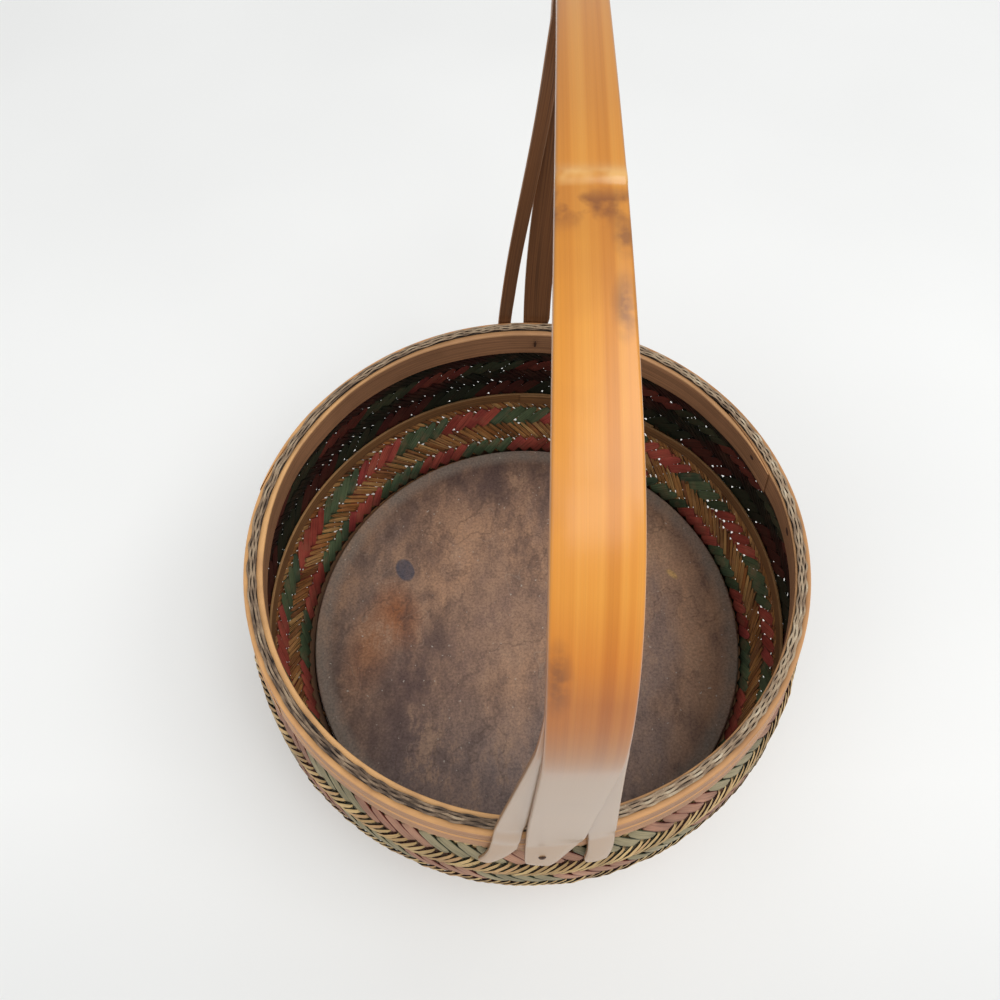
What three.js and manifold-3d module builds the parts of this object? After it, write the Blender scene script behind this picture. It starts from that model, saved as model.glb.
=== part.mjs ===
// Round bellied bamboo basket with a tall three-tined handle.
// Millimetres, +Z up. The origin is on the floor, on the axis of the round body.
// The handle stands across the mouth in a plane of constant X, its near foot at -Y.

import * as THREE from 'three';
import { mergeVertices } from 'three/addons/utils/BufferGeometryUtils.js';
import Module from 'manifold-3d';

const wasm = await Module();
wasm.setup();

// Fits between pieces
const clearance = 0.3;
const boardPlay = 2.6;
const boardShift = 1.4;

// Woven body
const bodyHeight = 155;
const bellyRadius = 163.5;
const bellyHeight = 75;
const wallThickness = 2.6;
const neckSlope = 0.34;
const footSlope = 0.3;
const footRadius = 149;

// Plaiting: strands slant both ways round the wall, each passing over three and under three
const strands = 104;
const strandWidth = 6.9;
const strandsOver = 3;
const firstRow = 21.5;
const plaitRelief = 0.8;

// Rim band: two outer hoops, one inner hoop and a plaited capping
const rimRadius = 150;
const rimFlare = 0.16;
const outerHoopThickness = 3.2;
const upperHoopHeight = 9.6;
const lowerHoopHeight = 9.8;
const innerHoopThickness = 4;
const innerHoopHeight = 21.5;
const plaitWidth = 4.8;
const plaitRise = 2.2;
const plaitTuck = 2.6;
const plaitRounding = 0.7;

// Hoop inside the belly
const midHoopTop = 66;
const midHoopHeight = 8;
const midHoopThickness = 1.5;

// Base
const footHoopHeight = 12;
const footHoopThickness = 3;
const footLiningThickness = 4;
const matUnderside = 6;
const matThickness = 2.2;
const boardThickness = 4.7;
const boardRounding = 1.2;
const slatWidth = 14;
const slatThickness = 3;
const slatSpacing = 96;
const slatRounding = 1;

// Where the ends of each hoop lap over each other, in degrees round from +X
const innerHoopLap = { at: 33, length: 18, tip: 0.2, clockwise: true };
const upperHoopLap = { at: 150, length: 18, tip: 0.2 };
const lowerHoopLap = { at: 198, length: 18, tip: 0.2 };
const midHoopLap = { at: 54, length: 36, tip: 0.85 };
const footHoopLap = { at: 24, length: 18, tip: 0.2 };
const footLiningLap = { at: 228, length: 18, tip: 0.2 };
const lapRamp = 12;
const hoopEdge = 0.6;

// Handle: one broad strap outside, two narrow strips under it that spread at the feet
const handleOffset = 10;
const legRise = 165;
const shoulderRadius = 82;
const shoulderTurn = 68;
const handleBow = 2.2;
const handleLean = 8.5;
const footDrop = 36;
const strapThickness = 3;
const stripThickness = 2.7;
const strapWidth = { nearFoot: 25.5, nearShoulder: 20.8, crown: 14.2, farFoot: 16.5 };
const tineGap = { near: 2.2, far: 7.5 };
const splayRise = 190;
const footBlend = 25;
const strapTip = { round: 7, cut: 36, keep: 0.1, side: 1, longer: 0, drift: 0 };
const leftTip = { round: 0, cut: 28, keep: 0.1, side: 1, longer: 0, drift: -5 };
const rightTip = { round: 2, cut: 6, keep: 0.8, side: -1, longer: 6, drift: -2.2 };
const edgeRounding = 0.7;
const skinShoulder = { across: 0.8, proud: 0.85, edge: 0.35 };
const jointRidge = 0.7;
const jointLength = 2.6;
const jointFromNearTip = 361;

// Nails through the broad strap, the hoops and the wall
const nailRadius = 0.8;
const nailHeadRadius = 2;
const nailHeadHeight = 0.9;
const nailClinch = 5;
const nailDrop = { near: 17.8, far: 7.5 };
const nailShift = { near: -4.6, far: 0 };

// Facets
const segments = 60;
const strapSteps = 52;
const tipStations = [0.4, 1.2, 3, 6, 10, 16];
const evenFrom = 24;
const ridgeStations = [-1.6, -0.8, 0, 0.8, 1.6];
const ridgeClear = 2.2;
const nailSides = 10;

const degree = Math.PI / 180;
const fullTurn = Math.PI * 2;

// Levels worked out from the sizes above
const hoopTop = bodyHeight - plaitRise;
const wallTop = hoopTop - plaitTuck;
const bandLow = hoopTop - upperHoopHeight - clearance - lowerHoopHeight;
const matTop = matUnderside + matThickness;
const boardLow = matTop + clearance;
const boardTop = boardLow + boardThickness;

const smooth = (t) => THREE.MathUtils.smoothstep(t, 0, 1);
const mix = THREE.MathUtils.lerp;

// Outline of the body
function rimFace(z) {
  return rimRadius + rimFlare * Math.max(0, hoopTop - z);
}

function wallOuter(z) {
  const neck = rimFace(bandLow) - outerHoopThickness - clearance;
  if (z >= bandLow) {
    return neck - rimFlare * (z - bandLow);
  }
  if (z >= bellyHeight) {
    const span = bandLow - bellyHeight;
    return ease(neck, bellyRadius, neckSlope * span, 0, (bandLow - z) / span);
  }
  const span = bellyHeight - matUnderside;
  return ease(bellyRadius, footRadius, 0, -footSlope * span, (bellyHeight - z) / span);
}

// Cubic from a to b with the given end slopes
function ease(a, b, slopeA, slopeB, t) {
  const t2 = t * t;
  const t3 = t2 * t;
  const rise = 3 * t2 - 2 * t3;
  return a + (b - a) * rise + slopeA * (t3 - 2 * t2 + t) + slopeB * (t3 - t2);
}

function wallInner(z) {
  return wallOuter(z) - wallThickness;
}

// Closed solids from open lists of triangles
function closeUp(geometry) {
  geometry.deleteAttribute('normal');
  geometry.deleteAttribute('uv');
  const merged = mergeVertices(geometry, 1e-4);
  const position = merged.getAttribute('position');
  const corner = [new THREE.Vector3(), new THREE.Vector3(), new THREE.Vector3()];
  const kept = [];
  let volume = 0;
  for (let i = 0; i < merged.index.count; i += 3) {
    const trio = [0, 1, 2].map((k) => merged.index.getX(i + k));
    if (new Set(trio).size === 3) {
      trio.forEach((v, k) => corner[k].fromBufferAttribute(position, v));
      volume += corner[0].dot(corner[1].cross(corner[2]));
      kept.push(trio);
    }
  }
  if (volume < 0) {
    kept.forEach((trio) => trio.reverse());
  }
  merged.setIndex(kept.flat());
  return merged;
}

function revolve(outline) {
  const points = outline.map(([radius, height]) => new THREE.Vector2(radius, height));
  return closeUp(new THREE.LatheGeometry(points, segments).rotateX(Math.PI / 2));
}

function loft(rings) {
  const count = rings[0].length;
  const last = (rings.length - 1) * count;
  const index = [];
  for (let i = 0; i < rings.length - 1; i++) {
    for (let j = 0; j < count; j++) {
      const here = i * count;
      const next = here + count;
      const k = (j + 1) % count;
      index.push(here + j, next + j, next + k, here + j, next + k, here + k);
    }
  }
  for (let j = 1; j < count - 1; j++) {
    index.push(0, j, j + 1, last, last + j + 1, last + j);
  }
  const geometry = new THREE.BufferGeometry().setFromPoints(rings.flat());
  geometry.setIndex(index);
  return closeUp(geometry);
}

function toSolid(geometry) {
  return new wasm.Manifold(new wasm.Mesh({
    numProp: 3,
    vertProperties: new Float32Array(geometry.getAttribute('position').array),
    triVerts: new Uint32Array(geometry.index.array),
  }));
}

function fromSolid(solid) {
  const mesh = solid.getMesh();
  const geometry = new THREE.BufferGeometry();
  geometry.setAttribute('position', new THREE.BufferAttribute(mesh.vertProperties, 3));
  geometry.setIndex(new THREE.BufferAttribute(mesh.triVerts, 1));
  return geometry;
}

function cut(geometry, cutters) {
  const solid = cutters.reduce((rest, cutter) => rest.subtract(toSolid(cutter)), toSolid(geometry));
  return fromSolid(solid);
}

// A bent strip whose two ends are thinned and lap over each other
function lappedHoop({ face, outward, low, high, thickness, lap }) {
  const step = fullTurn / segments;
  const length = lap.length * degree;
  const ramp = lapRamp * degree;
  const count = segments + Math.round(length / step);
  const rings = [];
  for (let i = 0; i <= count; i++) {
    const turned = i * step;
    const over = (turned - fullTurn) / length;
    const thinned = (t) => thickness * mix(lap.tip, 1, THREE.MathUtils.clamp(t, 0, 1));
    const lift = over >= 0
      ? thinned(over) + clearance
      : smooth((turned - fullTurn + ramp) / ramp) * (thinned(0) + clearance);
    const depth = over >= 0 ? thinned(1 - over) : thinned(turned / length);
    const edge = Math.min(hoopEdge, depth / 2);
    const section = [
      [0, low], [depth - edge, low], [depth, low + edge],
      [depth, high - edge], [depth - edge, high], [0, high],
    ];
    const angle = lap.at * degree + (lap.clockwise ? -turned : turned);
    rings.push(section.map(([offset, z]) => {
      const radius = face(z) + outward * (lift + offset);
      return new THREE.Vector3(radius * Math.cos(angle), radius * Math.sin(angle), z);
    }));
  }
  return loft(rings);
}

// Height of the next crossing above one at z. A strand keeps its width, so it leans more on the belly.
function nextCrossing(z) {
  const spacing = fullTurn * wallOuter(z) / strands;
  const lean = Math.acos(strandWidth / spacing);
  const flare = wallOuter(z + 0.5) - wallOuter(z - 0.5);
  return z + spacing / 2 / Math.tan(lean) / Math.hypot(1, flare);
}

// Heights of the edges between the rows of plaiting, up to the rim band
function rowEdges() {
  const edges = [];
  let edge = firstRow;
  while (edge < bandLow) {
    edges.push(edge);
    for (let crossing = 0; crossing < strandsOver; crossing++) {
      edge = nextCrossing(edge);
    }
  }
  return edges;
}

// Solid inside one face of the wall, with each row's strands humped between sunk ends and edges.
// The rows slant in turn one way and the other, and slant is the way of the lowest row.
function plaitedSolid({ face, sunk, slant, low, high }) {
  const edges = rowEdges();
  const points = [];
  const index = [];
  const ring = (radius, z, phase) => {
    const first = points.length;
    for (let k = 0; k < strands; k++) {
      const angle = fullTurn * (k + phase) / strands;
      points.push(new THREE.Vector3(radius * Math.cos(angle), radius * Math.sin(angle), z));
    }
    return (k) => first + k % strands;
  };
  const eachStrand = (facets) => {
    for (let k = 0; k < strands; k++) {
      index.push(...facets(k, k + 1));
    }
  };
  const band = (a, b) => eachStrand((k, n) => [a(k), a(n), b(n), a(k), b(n), b(k)]);

  let phase = 0.25;
  let last = ring(face(edges[0]) + sunk, edges[0], phase);
  let under = last;
  for (const [radius, z] of low) {
    const next = ring(radius, z, phase);
    band(next, under);
    under = next;
  }
  edges.slice(1).forEach((edge, row) => {
    const step = slant * (row % 2 ? -1 : 1) * strandsOver / 2;
    const middle = (edges[row] + edge) / 2;
    const hump = ring(face(middle), middle, phase + (step + 1) / 2);
    phase += step;
    const below = last;
    const above = ring(face(edge) + sunk, edge, phase);
    eachStrand((k, n) => [
      below(k), below(n), hump(k), below(n), above(n), hump(k),
      above(n), above(k), hump(k), above(k), below(k), hump(k),
    ]);
    last = above;
  });
  for (const z of high) {
    const next = ring(face(z), z, phase);
    band(last, next);
    last = next;
  }

  const floor = points.push(new THREE.Vector3(0, 0, low[low.length - 1][1])) - 1;
  const top = points.push(new THREE.Vector3(0, 0, high[high.length - 1])) - 1;
  eachStrand((k, n) => [floor, under(n), under(k), top, last(k), last(n)]);
  const geometry = new THREE.BufferGeometry().setFromPoints(points);
  geometry.setIndex(index);
  return closeUp(geometry);
}

// Woven body: plaited bottom, bellied wall and straight rim in one shell
function wovenBody() {
  const turnUnder = [wallOuter(matUnderside) - matThickness, matUnderside];
  const outside = plaitedSolid({
    face: wallOuter,
    sunk: -plaitRelief,
    slant: -1,
    low: [[wallOuter(matTop), matTop], turnUnder],
    high: [bandLow, wallTop],
  });
  const hollow = plaitedSolid({
    face: wallInner,
    sunk: plaitRelief,
    slant: 1,
    low: [[wallInner(matTop), matTop]],
    high: [bandLow, wallTop + wallThickness],
  });
  return cut(outside, [hollow]);
}

// Loose board that lies a little to the right of the middle
function baseBoard() {
  const radius = wallInner(boardLow) - boardPlay;
  const board = revolve([
    [0, boardLow], [radius - boardRounding, boardLow], [radius, boardLow + boardRounding],
    [radius, boardTop - boardRounding], [radius - boardRounding, boardTop], [0, boardTop],
  ]);
  return board.translate(boardShift, 0, 0);
}

// Capping that sits on the edge of the wall and spreads over both hoops
function rimPlait() {
  const middle = (z) => wallOuter(z) - wallThickness / 2;
  const stem = wallThickness / 2 - clearance / 2;
  const half = plaitWidth / 2;
  const foot = wallTop + clearance;
  const shelf = hoopTop + clearance;
  const centre = middle(hoopTop);
  return revolve([
    [middle(foot) - stem, foot], [middle(foot) + stem, foot], [centre + stem, shelf],
    [centre + half, shelf], [centre + half, bodyHeight - plaitRounding],
    [centre + half - plaitRounding, bodyHeight], [centre - half + plaitRounding, bodyHeight],
    [centre - half, bodyHeight - plaitRounding], [centre - half, shelf], [centre - stem, shelf],
    [middle(foot) - stem, foot],
  ]);
}

// Slat under the plaited bottom, ending just inside the foot lining
function baseSlat(side) {
  const reach = wallOuter(matUnderside) - footLiningThickness * (1 + footLiningLap.tip) - 2 * clearance;
  const edge = slatSpacing / 2 + slatWidth / 2;
  const length = 2 * Math.sqrt(reach * reach - edge * edge);
  const top = matUnderside - clearance;
  const low = top - slatThickness;
  const half = slatWidth / 2;
  const section = new THREE.Shape();
  section.moveTo(-half, top);
  section.lineTo(-half, low + slatRounding);
  section.quadraticCurveTo(-half, low, -half + slatRounding, low);
  section.lineTo(half - slatRounding, low);
  section.quadraticCurveTo(half, low, half, low + slatRounding);
  section.lineTo(half, top);
  const slat = new THREE.ExtrudeGeometry(section, { depth: length, bevelEnabled: false, curveSegments: 3 });
  slat.translate(0, 0, -length / 2);
  slat.rotateX(Math.PI / 2);
  slat.rotateZ(Math.PI / 2);
  slat.translate(0, side * slatSpacing / 2, 0);
  return closeUp(slat);
}

// Middle line of the handle in its own plane: leg, shoulder, crown, shoulder, leg
function handleLine() {
  const reach = rimRadius + clearance + strapThickness / 2;
  const foot = bodyHeight - footDrop;
  const legTop = bodyHeight + legRise;
  const turn = shoulderTurn * degree;
  const crownRadius = shoulderRadius + (reach - shoulderRadius) / Math.cos(turn);
  const crownCentre = legTop - (crownRadius - shoulderRadius) * Math.sin(turn);
  const line = new THREE.Path();
  line.moveTo(-reach, foot);
  line.lineTo(-reach, legTop);
  line.absarc(-reach + shoulderRadius, legTop, shoulderRadius, Math.PI, Math.PI - turn, true);
  line.absarc(0, crownCentre, crownRadius, Math.PI - turn, turn, true);
  line.absarc(reach - shoulderRadius, legTop, shoulderRadius, turn, 0, true);
  line.lineTo(reach, foot);
  return line;
}

const handlePath = handleLine();
const handleLength = handlePath.getLength();

// Sideways drift of the handle: a slight bow, and a lean that is greatest on the far shoulder
function handleDrift(along) {
  const nearPower = 12;
  const farPower = 4.5;
  const peak = nearPower / (nearPower + farPower);
  const swell = (t) => Math.pow(t, nearPower) * Math.pow(1 - t, farPower);
  const bow = handleBow * Math.sin(Math.PI * along) ** 2;
  return bow + handleLean * swell(along) / swell(peak);
}

// Distance from the strap's middle line to a tine's middle line at a given height
function tineSpread(z, width, end) {
  const together = (width + clearance) / 2;
  const apart = strapWidth[`${end}Foot`] / 2 + tineGap[end] + width / 2;
  const share = Math.max(0, (bodyHeight + splayRise - z) / splayRise);
  return together + (apart - together) * share;
}

// One strip of the handle. side is 0 for the broad strap, -1 or 1 for a narrow strip.
function handleStrip({ side, thickness, layer, widthAt, tip, ridgeAt }) {
  const rings = stations(ridgeAt, tip.longer).map((distance) => {
    const along = distance / handleLength;
    const frameAt = (share) => stripFrame(share, side, thickness, layer, widthAt(along), tip.drift);
    const frame = frameAt(along);
    const before = frameAt(along - 1e-3);
    const after = frameAt(Math.min(1, along + 1e-3));
    const tangent = after.point.clone().sub(before.point).normalize();
    const normal = frame.outward.clone().addScaledVector(tangent, -frame.outward.dot(tangent)).normalize();
    const across = tangent.clone().cross(normal);
    const fromEnd = Math.min(distance + tip.longer, handleLength - distance);
    const [left, right] = trimmed(fromEnd, widthAt(along), tip);
    const ridge = ridgeAt ? jointRidge * Math.exp(-(((distance - ridgeAt) / jointLength) ** 2)) : 0;
    return stripSection(left, right, thickness, ridge).map(([w, n]) => (
      frame.point.clone().addScaledVector(across, w).addScaledVector(normal, n)
    ));
  });
  return loft(rings);
}

// Distances from the strap's near tip at which a strip is measured out. A longer one starts below it.
function stations(ridgeAt, longer) {
  const list = tipStations.flatMap((d) => [d - longer, handleLength - d]);
  for (let i = 0; i <= strapSteps; i++) {
    list.push(mix(evenFrom, handleLength - evenFrom, i / strapSteps));
  }
  if (!ridgeAt) {
    return list.sort((a, b) => a - b);
  }
  const onRidge = ridgeStations.map((k) => ridgeAt + k * jointLength);
  const kept = list.filter((d) => Math.abs(d - ridgeAt) > ridgeClear * jointLength);
  return kept.concat(onRidge).sort((a, b) => a - b);
}

// Centre point and outward direction of a strip at a share of the handle's length.
// Below the near foot the line goes straight on, and the tip drifts sideways on the body.
function stripFrame(along, side, thickness, layer, width, tipDrift) {
  const flat = handlePath.getPointAt(Math.max(0, along));
  flat.y += Math.min(0, along) * handleLength;
  const tangent = handlePath.getTangentAt(Math.max(0, along));
  const y = flat.x - tangent.y * layer;
  const z = flat.y + tangent.x * layer;
  const end = along < 0.5 ? 'near' : 'far';
  const drift = end === 'near' ? tipDrift * Math.max(0, (bodyHeight - z) / footDrop) ** 3 : 0;
  const x = handleOffset + handleDrift(along) + side * tineSpread(z, width, end) + drift;
  const onRim = 1 - smooth((z - bodyHeight) / footBlend);
  const radius = Math.max(rimFace(z), wallOuter(z)) + clearance + thickness / 2;
  const rimY = Math.sign(y) * Math.sqrt(radius * radius - x * x);
  const point = new THREE.Vector3(x, mix(y, rimY, onRim), z);
  const radial = new THREE.Vector3(x, rimY, 0).normalize();
  const outward = new THREE.Vector3(0, -tangent.y, tangent.x).lerp(radial, onRim).normalize();
  return { point, outward };
}

// Section of a strip: flat inside, skin slightly crowned outside, small edge roundings
function stripSection(left, right, thickness, ridge) {
  const half = thickness / 2;
  const middle = (right - left) / 2;
  const reach = (left + right) / 2;
  const soft = Math.min(edgeRounding, reach / 2);
  const outside = half + ridge;
  const bend = reach * skinShoulder.across;
  const shoulder = outside * skinShoulder.proud;
  const edge = half * skinShoulder.edge;
  return [
    [middle - reach + soft, -half], [middle + reach - soft, -half], [middle + reach, -half + soft],
    [middle + reach, edge], [middle + bend, shoulder], [middle, outside],
    [middle - bend, shoulder], [middle - reach, edge], [middle - reach, -half + soft],
  ];
}

// Distances of the two edges from the middle line, near a trimmed end
function trimmed(fromEnd, width, tip) {
  const rest = tip.round > 0 ? Math.max(0, 1 - fromEnd / tip.round) : 0;
  const rounded = Math.sqrt(1 - rest * rest) * width / 2;
  const share = mix(tip.keep, 1, Math.min(1, fromEnd / tip.cut));
  return tip.side > 0 ? [rounded, rounded * share] : [rounded * share, rounded];
}

function strapWidthAt(along) {
  const shoulder = 0.3;
  const crown = 0.55;
  if (along < shoulder) {
    return mix(strapWidth.nearFoot, strapWidth.nearShoulder, smooth(along / shoulder));
  }
  if (along < crown) {
    return mix(strapWidth.nearShoulder, strapWidth.crown, smooth((along - shoulder) / (crown - shoulder)));
  }
  return mix(strapWidth.crown, strapWidth.farFoot, smooth((along - crown) / (1 - crown)));
}

// The two narrow strips together are as wide as the strap above them
function stripWidthAt(along) {
  return (strapWidthAt(along) - clearance) / 2;
}

// Nails. Each stands square to the flared rim band at its own height.
function nailPlace(end) {
  const z = hoopTop - nailDrop[end];
  const radius = rimFace(z) + 2 * clearance + strapThickness;
  const x = handleOffset + nailShift[end];
  const y = (end === 'near' ? -1 : 1) * Math.sqrt(radius * radius - x * x);
  const outward = new THREE.Vector3(x / radius, y / radius, rimFlare).normalize();
  const turn = new THREE.Quaternion().setFromUnitVectors(new THREE.Vector3(0, 0, 1), outward);
  return new THREE.Matrix4().compose(new THREE.Vector3(x, y, z), turn, new THREE.Vector3(1, 1, 1));
}

const bandThickness = strapThickness + outerHoopThickness + wallThickness + innerHoopThickness + 5 * clearance;

function nailBody() {
  const length = bandThickness + 2 * nailRadius;
  const outline = [
    [0, nailHeadHeight], [nailHeadRadius * 0.6, nailHeadHeight * 0.8], [nailHeadRadius, 0],
    [nailRadius, 0], [nailRadius, -length], [0, -length],
  ].map(([radius, height]) => new THREE.Vector2(radius, height));
  const straight = new THREE.LatheGeometry(outline, nailSides).rotateX(Math.PI / 2);
  const bent = new THREE.CylinderGeometry(nailRadius, nailRadius * 0.4, nailClinch, nailSides);
  bent.translate(0, -nailClinch / 2, nailRadius - length);
  return toSolid(closeUp(straight)).add(toSolid(closeUp(bent)));
}

function nailHole(end) {
  const radius = nailRadius + clearance;
  const length = bandThickness + 4 * clearance;
  const hole = new THREE.CylinderGeometry(radius, radius, length, nailSides).rotateX(Math.PI / 2);
  hole.translate(0, 0, 2 * clearance - length / 2);
  return closeUp(hole).applyMatrix4(nailPlace(end));
}

// Materials
const material = (color, roughness, metalness = 0) => (
  new THREE.MeshStandardMaterial({ color, roughness, metalness })
);
const weave = material(0xa5854f, 0.75);
const rattan = material(0x6f675c, 0.8);
const hoopSkin = material(0xb3793f, 0.5);
const hoopInside = material(0x7a5638, 0.65);
const lacquer = material(0x5f4636, 0.45);
const skin = material(0xd88e44, 0.3);
const pith = material(0x5a371d, 0.6);
const iron = material(0x4a4540, 0.55, 0.8);

const basket = new THREE.Group();

function place(name, geometry, look) {
  const mesh = new THREE.Mesh(geometry, look);
  mesh.name = name;
  basket.add(mesh);
}

const ends = ['near', 'far'];
const holes = ends.map(nailHole);
const [nearHole, farHole] = holes;

place('woven_body', cut(wovenBody(), holes), weave);
place('base_board', baseBoard(), lacquer);
place('rim_plait', rimPlait(), rattan);

place('inner_rim_hoop', cut(lappedHoop({
  face: (z) => wallInner(Math.max(z, bandLow)) - clearance,
  outward: -1,
  low: hoopTop - innerHoopHeight,
  high: hoopTop,
  thickness: innerHoopThickness,
  lap: innerHoopLap,
}), holes), hoopInside);

place('outer_rim_hoop_upper', cut(lappedHoop({
  face: (z) => wallOuter(z) + clearance,
  outward: 1,
  low: hoopTop - upperHoopHeight,
  high: hoopTop,
  thickness: outerHoopThickness,
  lap: upperHoopLap,
}), [farHole]), hoopSkin);

place('outer_rim_hoop_lower', cut(lappedHoop({
  face: (z) => wallOuter(z) + clearance,
  outward: 1,
  low: bandLow,
  high: bandLow + lowerHoopHeight,
  thickness: outerHoopThickness,
  lap: lowerHoopLap,
}), [nearHole]), hoopSkin);

place('mid_hoop', lappedHoop({
  face: (z) => wallInner(z) - clearance,
  outward: -1,
  low: midHoopTop - midHoopHeight,
  high: midHoopTop,
  thickness: midHoopThickness,
  lap: midHoopLap,
}), hoopInside);

place('foot_hoop', lappedHoop({
  face: (z) => wallOuter(Math.max(z, matUnderside)) + clearance,
  outward: 1,
  low: 0,
  high: footHoopHeight,
  thickness: footHoopThickness,
  lap: footHoopLap,
}), hoopSkin);

place('foot_lining', lappedHoop({
  face: () => wallOuter(matUnderside),
  outward: -1,
  low: 0,
  high: matUnderside - clearance,
  thickness: footLiningThickness,
  lap: footLiningLap,
}), hoopInside);

place('base_slat_near', baseSlat(-1), hoopInside);
place('base_slat_far', baseSlat(1), hoopInside);

place('handle_strap', cut(handleStrip({
  side: 0,
  thickness: strapThickness,
  layer: 0,
  widthAt: strapWidthAt,
  tip: strapTip,
  ridgeAt: jointFromNearTip,
}), holes), skin);

const underStrap = -(strapThickness + stripThickness) / 2 - clearance;
for (const [name, side, tip] of [['handle_strip_left', -1, leftTip], ['handle_strip_right', 1, rightTip]]) {
  place(name, handleStrip({
    side,
    thickness: stripThickness,
    layer: underStrap,
    widthAt: stripWidthAt,
    tip,
  }), pith);
}

for (const end of ends) {
  place(`nail_${end}`, fromSolid(nailBody()).applyMatrix4(nailPlace(end)), iron);
}

export default basket;
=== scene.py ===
"""Looks of a round plaited bamboo basket with a tall strap handle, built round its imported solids.

Sizes are in millimetres and become metres where a mesh is made. The near foot of the handle is at -Y.
"""
import math

import bmesh
import bpy
import numpy as np
from mathutils import Matrix, Vector


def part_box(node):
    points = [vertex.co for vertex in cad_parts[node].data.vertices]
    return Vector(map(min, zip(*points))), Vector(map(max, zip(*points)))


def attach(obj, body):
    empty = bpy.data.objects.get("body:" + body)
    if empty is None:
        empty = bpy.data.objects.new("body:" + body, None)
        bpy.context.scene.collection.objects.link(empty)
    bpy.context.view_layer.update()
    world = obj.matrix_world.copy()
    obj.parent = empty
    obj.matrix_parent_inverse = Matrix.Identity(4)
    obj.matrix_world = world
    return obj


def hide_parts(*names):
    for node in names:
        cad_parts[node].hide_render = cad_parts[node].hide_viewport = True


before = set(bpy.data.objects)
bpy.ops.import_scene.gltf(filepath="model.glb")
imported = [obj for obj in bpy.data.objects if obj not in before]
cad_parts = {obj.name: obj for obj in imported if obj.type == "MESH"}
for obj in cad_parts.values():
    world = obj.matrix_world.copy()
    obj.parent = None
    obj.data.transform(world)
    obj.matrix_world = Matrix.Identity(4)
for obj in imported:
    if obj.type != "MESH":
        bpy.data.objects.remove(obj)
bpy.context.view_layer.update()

MM = 0.001
TURN = 2 * math.pi
SHARP = math.radians(35)

# Sizes shared with the solids
CLEARANCE = 0.3
BODY_HEIGHT = 155.0
BELLY_RADIUS = 163.5
BELLY_HEIGHT = 75.0
WALL_THICKNESS = 2.6
NECK_SLOPE = 0.34
FOOT_SLOPE = 0.3
FOOT_RADIUS = 149.0
RIM_RADIUS = 150.0
RIM_FLARE = 0.16
OUTER_HOOP_THICKNESS = 3.2
UPPER_HOOP_HEIGHT = 9.6
LOWER_HOOP_HEIGHT = 9.8
INNER_HOOP_THICKNESS = 4.0
INNER_HOOP_HEIGHT = 21.5
PLAIT_RISE = 2.2
PLAIT_TUCK = 2.6
MID_HOOP_TOP = 66.0
MID_HOOP_HEIGHT = 8.0
MID_HOOP_THICKNESS = 1.5
FOOT_HOOP_HEIGHT = 12.0
FOOT_HOOP_THICKNESS = 3.0
FOOT_LINING_THICKNESS = 4.0
MAT_UNDERSIDE = 6.0
MAT_THICKNESS = 2.2
BOARD_THICKNESS = 4.7
BOARD_PLAY = 2.6
BOARD_SHIFT = 1.4
LAP_RAMP = 12.0
HANDLE_OFFSET = 10.0
HANDLE_BOW = 2.2
HANDLE_LEAN = 8.5
LEG_RISE = 165.0
SHOULDER_RADIUS = 82.0
SHOULDER_TURN = math.radians(68)
FOOT_DROP = 36.0
STRAP_THICKNESS = 3.0
STRIP_THICKNESS = 2.7
STRAP_NEAR_FOOT = 25.5
STRAP_NEAR_SHOULDER = 20.8
STRAP_CROWN = 14.2
STRAP_FAR_FOOT = 16.5
TINE_GAP = {"near": 2.2, "far": 7.5}
SPLAY_RISE = 190.0
FOOT_BLEND = 25.0
JOINT_FROM_NEAR_TIP = 361.0
JOINT_RIDGE = 0.7
JOINT_LENGTH = 2.6
# Tips of the handle's strips: length of the rounding and of the slant cut, share of the width that the cut
# keeps, side that it takes, length beyond the strap's near tip, and drift of the near tip to +X
STRAP_TIP = {"round": 7, "cut": 36, "keep": 0.1, "side": 1, "longer": 0, "drift": 0}
LEFT_TIP = {"round": 0, "cut": 28, "keep": 0.1, "side": 1, "longer": 0, "drift": -5}
RIGHT_TIP = {"round": 2, "cut": 6, "keep": 0.8, "side": -1, "longer": 6, "drift": -2.2}

HOOP_TOP = BODY_HEIGHT - PLAIT_RISE
WALL_TOP = HOOP_TOP - PLAIT_TUCK
BAND_LOW = HOOP_TOP - UPPER_HOOP_HEIGHT - CLEARANCE - LOWER_HOOP_HEIGHT
MAT_TOP = MAT_UNDERSIDE + MAT_THICKNESS
BOARD_LOW = MAT_TOP + CLEARANCE
BOARD_TOP = BOARD_LOW + BOARD_THICKNESS

# Weave: wide dyed strands one way, pairs of narrow natural strands the other way
STRANDS = 104
STRAND_PITCH = 6.9
FLOAT = 3
FIRST_LEVEL = 8.2
DYED_WIDTH = 6.7
NATURAL_WIDTH = 3.12
DYED_THICKNESS = 0.75
NATURAL_THICKNESS = 0.85
STRIP_EDGE = 0.16
PAIR_GAP = 0.16
DYED_GROUP = 4
DYED_PHASE = 3
LAYER_GAP = 0.1
STRIP_STRAY = 0.018
DIVE_HALF = 0.14
NIP_CHANCE = 0.5
DIVE_NIP = 0.8
OUTSIDE_TAPER = 0.4
FREE_RAMP = 8.0
STRIP_PER_RISE = 1.4
WEAVE_SET = 0.2
WEAVE_START = 0.8
BASE_DIVE = (0.38, 0.62)
BASE_WAVE = 0.5
BASE_INSET = 1.0
# Table of crossing levels: its step, its margin in millimetres and a level's rise at the foot
LEVEL_STEP = 0.02
LEVEL_MARGIN = 6.0
LEVEL_RISE = 5.3

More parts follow.
